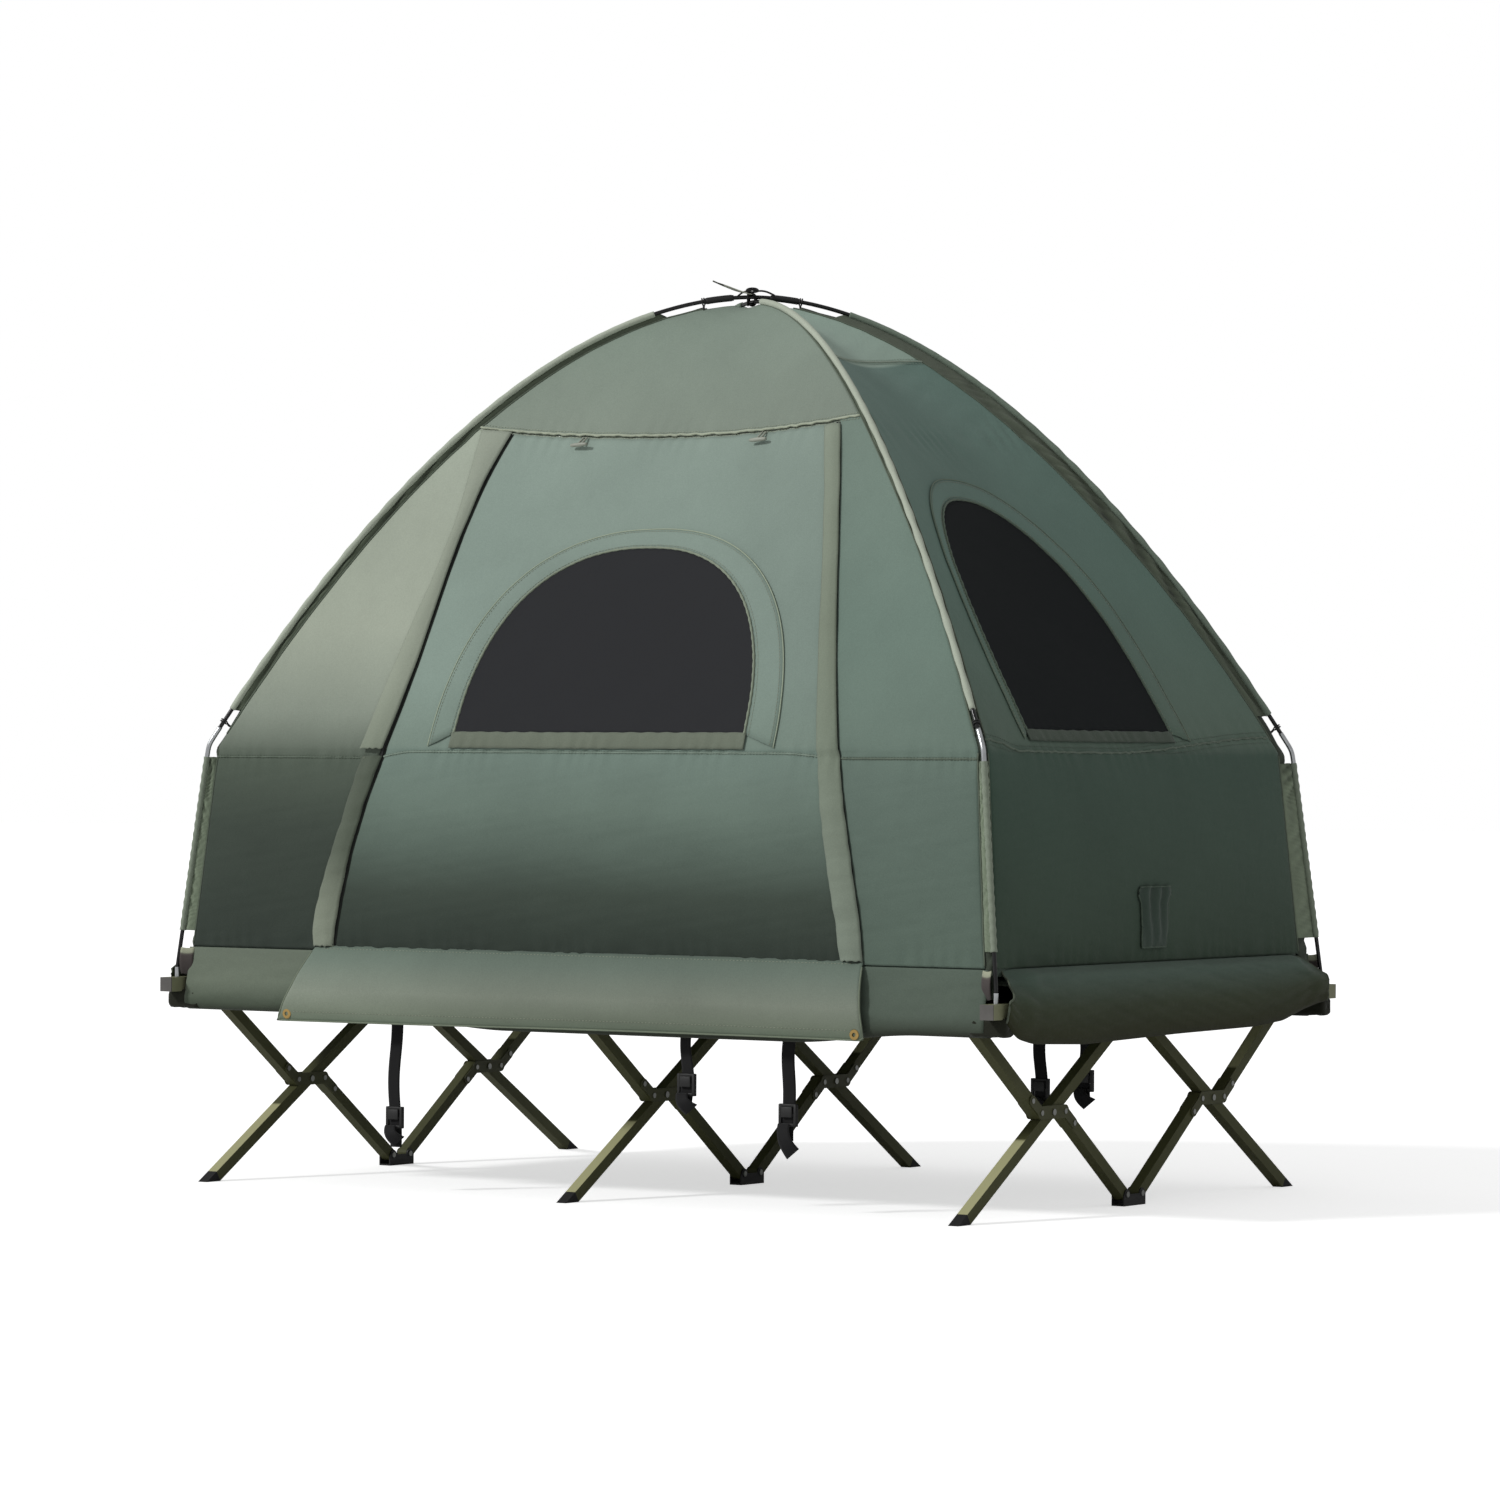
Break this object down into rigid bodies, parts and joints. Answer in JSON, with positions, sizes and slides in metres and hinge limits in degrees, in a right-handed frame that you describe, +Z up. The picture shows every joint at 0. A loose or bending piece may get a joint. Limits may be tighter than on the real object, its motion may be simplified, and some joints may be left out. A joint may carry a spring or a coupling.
{
  "type": "tent cot",
  "caption": "Folding camping cot on scissor legs with a domed cloth tent on crossed poles, arched mesh windows and a roll-up door on each long side.",
  "frame": {"origin": "on the ground under the middle of the cot", "axes": "+X along the cot, +Y across it, away from the front door, +Z up"},
  "size_m": [1.952, 1.296, 1.7855],
  "materials": {
    "frame_metal": "olive powder coat, fine texture",
    "bar_metal": "olive powder coat, fine texture",
    "bracket_metal": "dark olive powder coat",
    "fastener": "zinc plated, satin",
    "plastic": "black moulded plastic",
    "foot_rubber": "black rubber, matt",
    "pole": "black pultruded fibreglass, semi gloss",
    "pole_metal": "bare drawn aluminium, satin",
    "cloth_green": "dark green coated oxford cloth",
    "cloth_sage": "sage coated oxford cloth",
    "cloth_khaki": "khaki-grey coated oxford cloth",
    "mesh": "black insect mesh",
    "webbing": "black webbing",
    "brass": "polished brass eyelet"
  },
  "bodies": {
    "centre_feet": {"centre_foot_brackets": "plastic", "centre_foot_pins": "fastener"},
    "front_inner_legs": {"front_half_legs": "frame_metal", "front_cross_plates": "bracket_metal", "front_plate_rivets": "fastener"},
    "front_outer_legs": {"front_straight_legs": "frame_metal", "front_foot_caps": "foot_rubber", "front_cross_pins": "fastener"},
    "back_inner_legs": {"back_half_legs": "frame_metal", "back_cross_plates": "bracket_metal", "back_plate_rivets": "fastener"},
    "back_outer_legs": {"back_straight_legs": "frame_metal", "back_foot_caps": "foot_rubber", "back_cross_pins": "fastener"},
    "centre_rail": {"centre_rail": "frame_metal", "rail_caps_centre": "plastic", "centre_hanger_brackets": "bracket_metal", "centre_hanger_pins": "fastener", "bed_sheet": "cloth_green", "centre_bed_straps": "webbing", "centre_strap_buckles": "plastic"},
    "front_rail": {"front_rail": "frame_metal", "rail_caps_front": "plastic", "front_hanger_brackets": "bracket_metal", "front_hanger_pins": "fastener", "front_rail_sleeve": "cloth_khaki", "front_bed_straps": "webbing", "front_strap_buckles": "plastic"},
    "back_rail": {"back_rail": "frame_metal", "rail_caps_back": "plastic", "back_hanger_brackets": "bracket_metal", "back_hanger_pins": "fastener", "back_rail_sleeve": "cloth_khaki"},
    "end_bars": {"end_bars": "bar_metal", "end_bar_plugs": "plastic", "locating_pegs": "fastener", "pole_pins": "fastener", "end_bolsters": "cloth_green"},
    "canopy": {"pole_ferrules": "pole_metal", "lower_poles": "pole", "pole_elbows": "pole_metal", "upper_arch": "pole", "lower_arch": "pole", "arch_crown_sleeve": "plastic", "crown_ties": "webbing", "pole_clips": "plastic", "pole_wings": "cloth_green", "front_wall": "cloth_sage", "back_wall": "cloth_sage", "right_wall": "cloth_green", "left_wall": "cloth_green", "end_windows": "mesh"},
    "front_door": {"front_door": "cloth_sage", "front_door_window": "mesh", "front_door_grommets": "brass", "front_door_toggles": "cloth_khaki"},
    "back_door": {"back_door": "cloth_sage", "back_door_window": "mesh", "back_door_grommets": "brass", "back_door_toggles": "cloth_khaki"}
  },
  "joints": [
    {"name": "frame_fold", "type": "hinge", "parent": "centre_feet", "child": "front_inner_legs", "pos_m": [0, -0.028, 0.022], "axis": [-1, 0, 0], "range_deg": [0, 52], "deforming": ["bed_sheet"]},
    {"name": "front_cross", "type": "hinge", "parent": "front_inner_legs", "child": "front_outer_legs", "pos_m": [0, -0.3, 0.1905], "axis": [1, 0, 0], "range_deg": [0, 105]},
    {"name": "centre_rail_hang", "type": "hinge", "parent": "front_outer_legs", "child": "centre_rail", "pos_m": [0, -0.028, 0.359], "axis": [-1, 0, 0], "range_deg": [0, 53]},
    {"name": "front_rail_hang", "type": "hinge", "parent": "front_inner_legs", "child": "front_rail", "pos_m": [0, -0.572, 0.359], "axis": [1, 0, 0], "range_deg": [0, 53]},
    {"name": "back_fold", "type": "hinge", "parent": "centre_feet", "child": "back_inner_legs", "pos_m": [0, 0.028, 0.022], "axis": [1, 0, 0], "range_deg": [0, 53]},
    {"name": "back_cross", "type": "hinge", "parent": "back_inner_legs", "child": "back_outer_legs", "pos_m": [0, 0.3, 0.1905], "axis": [-1, 0, 0], "range_deg": [0, 105]},
    {"name": "back_rail_hang", "type": "hinge", "parent": "back_inner_legs", "child": "back_rail", "pos_m": [0, 0.572, 0.359], "axis": [-1, 0, 0], "range_deg": [0, 53]},
    {"name": "end_bar_lift", "type": "slide", "parent": "centre_rail", "child": "end_bars", "axis": [0, 0, 1], "range_m": [0, 0.28]},
    {"name": "canopy_lift", "type": "slide", "parent": "end_bars", "child": "canopy", "axis": [0, 0, 1], "range_m": [0, 0.3]},
    {"name": "front_door_swing", "type": "hinge", "parent": "canopy", "child": "front_door", "pos_m": [0, -0.2833, 1.4868], "axis": [-1, 0, 0], "range_deg": [0, 90]},
    {"name": "back_door_swing", "type": "hinge", "parent": "canopy", "child": "back_door", "pos_m": [0, 0.2833, 1.4868], "axis": [1, 0, 0], "range_deg": [0, 90]}
  ],
  "couplings": [
    {"joint": "front_cross", "follows": "frame_fold", "ratio": 2},
    {"joint": "centre_rail_hang", "follows": "frame_fold", "ratio": 1},
    {"joint": "front_rail_hang", "follows": "frame_fold", "ratio": 1},
    {"joint": "back_fold", "follows": "frame_fold", "ratio": 1},
    {"joint": "back_cross", "follows": "frame_fold", "ratio": 2},
    {"joint": "back_rail_hang", "follows": "frame_fold", "ratio": 1},
    {"joint": "end_bar_lift", "follows": "frame_fold", "m_per_rad": 0.3}
  ]
}
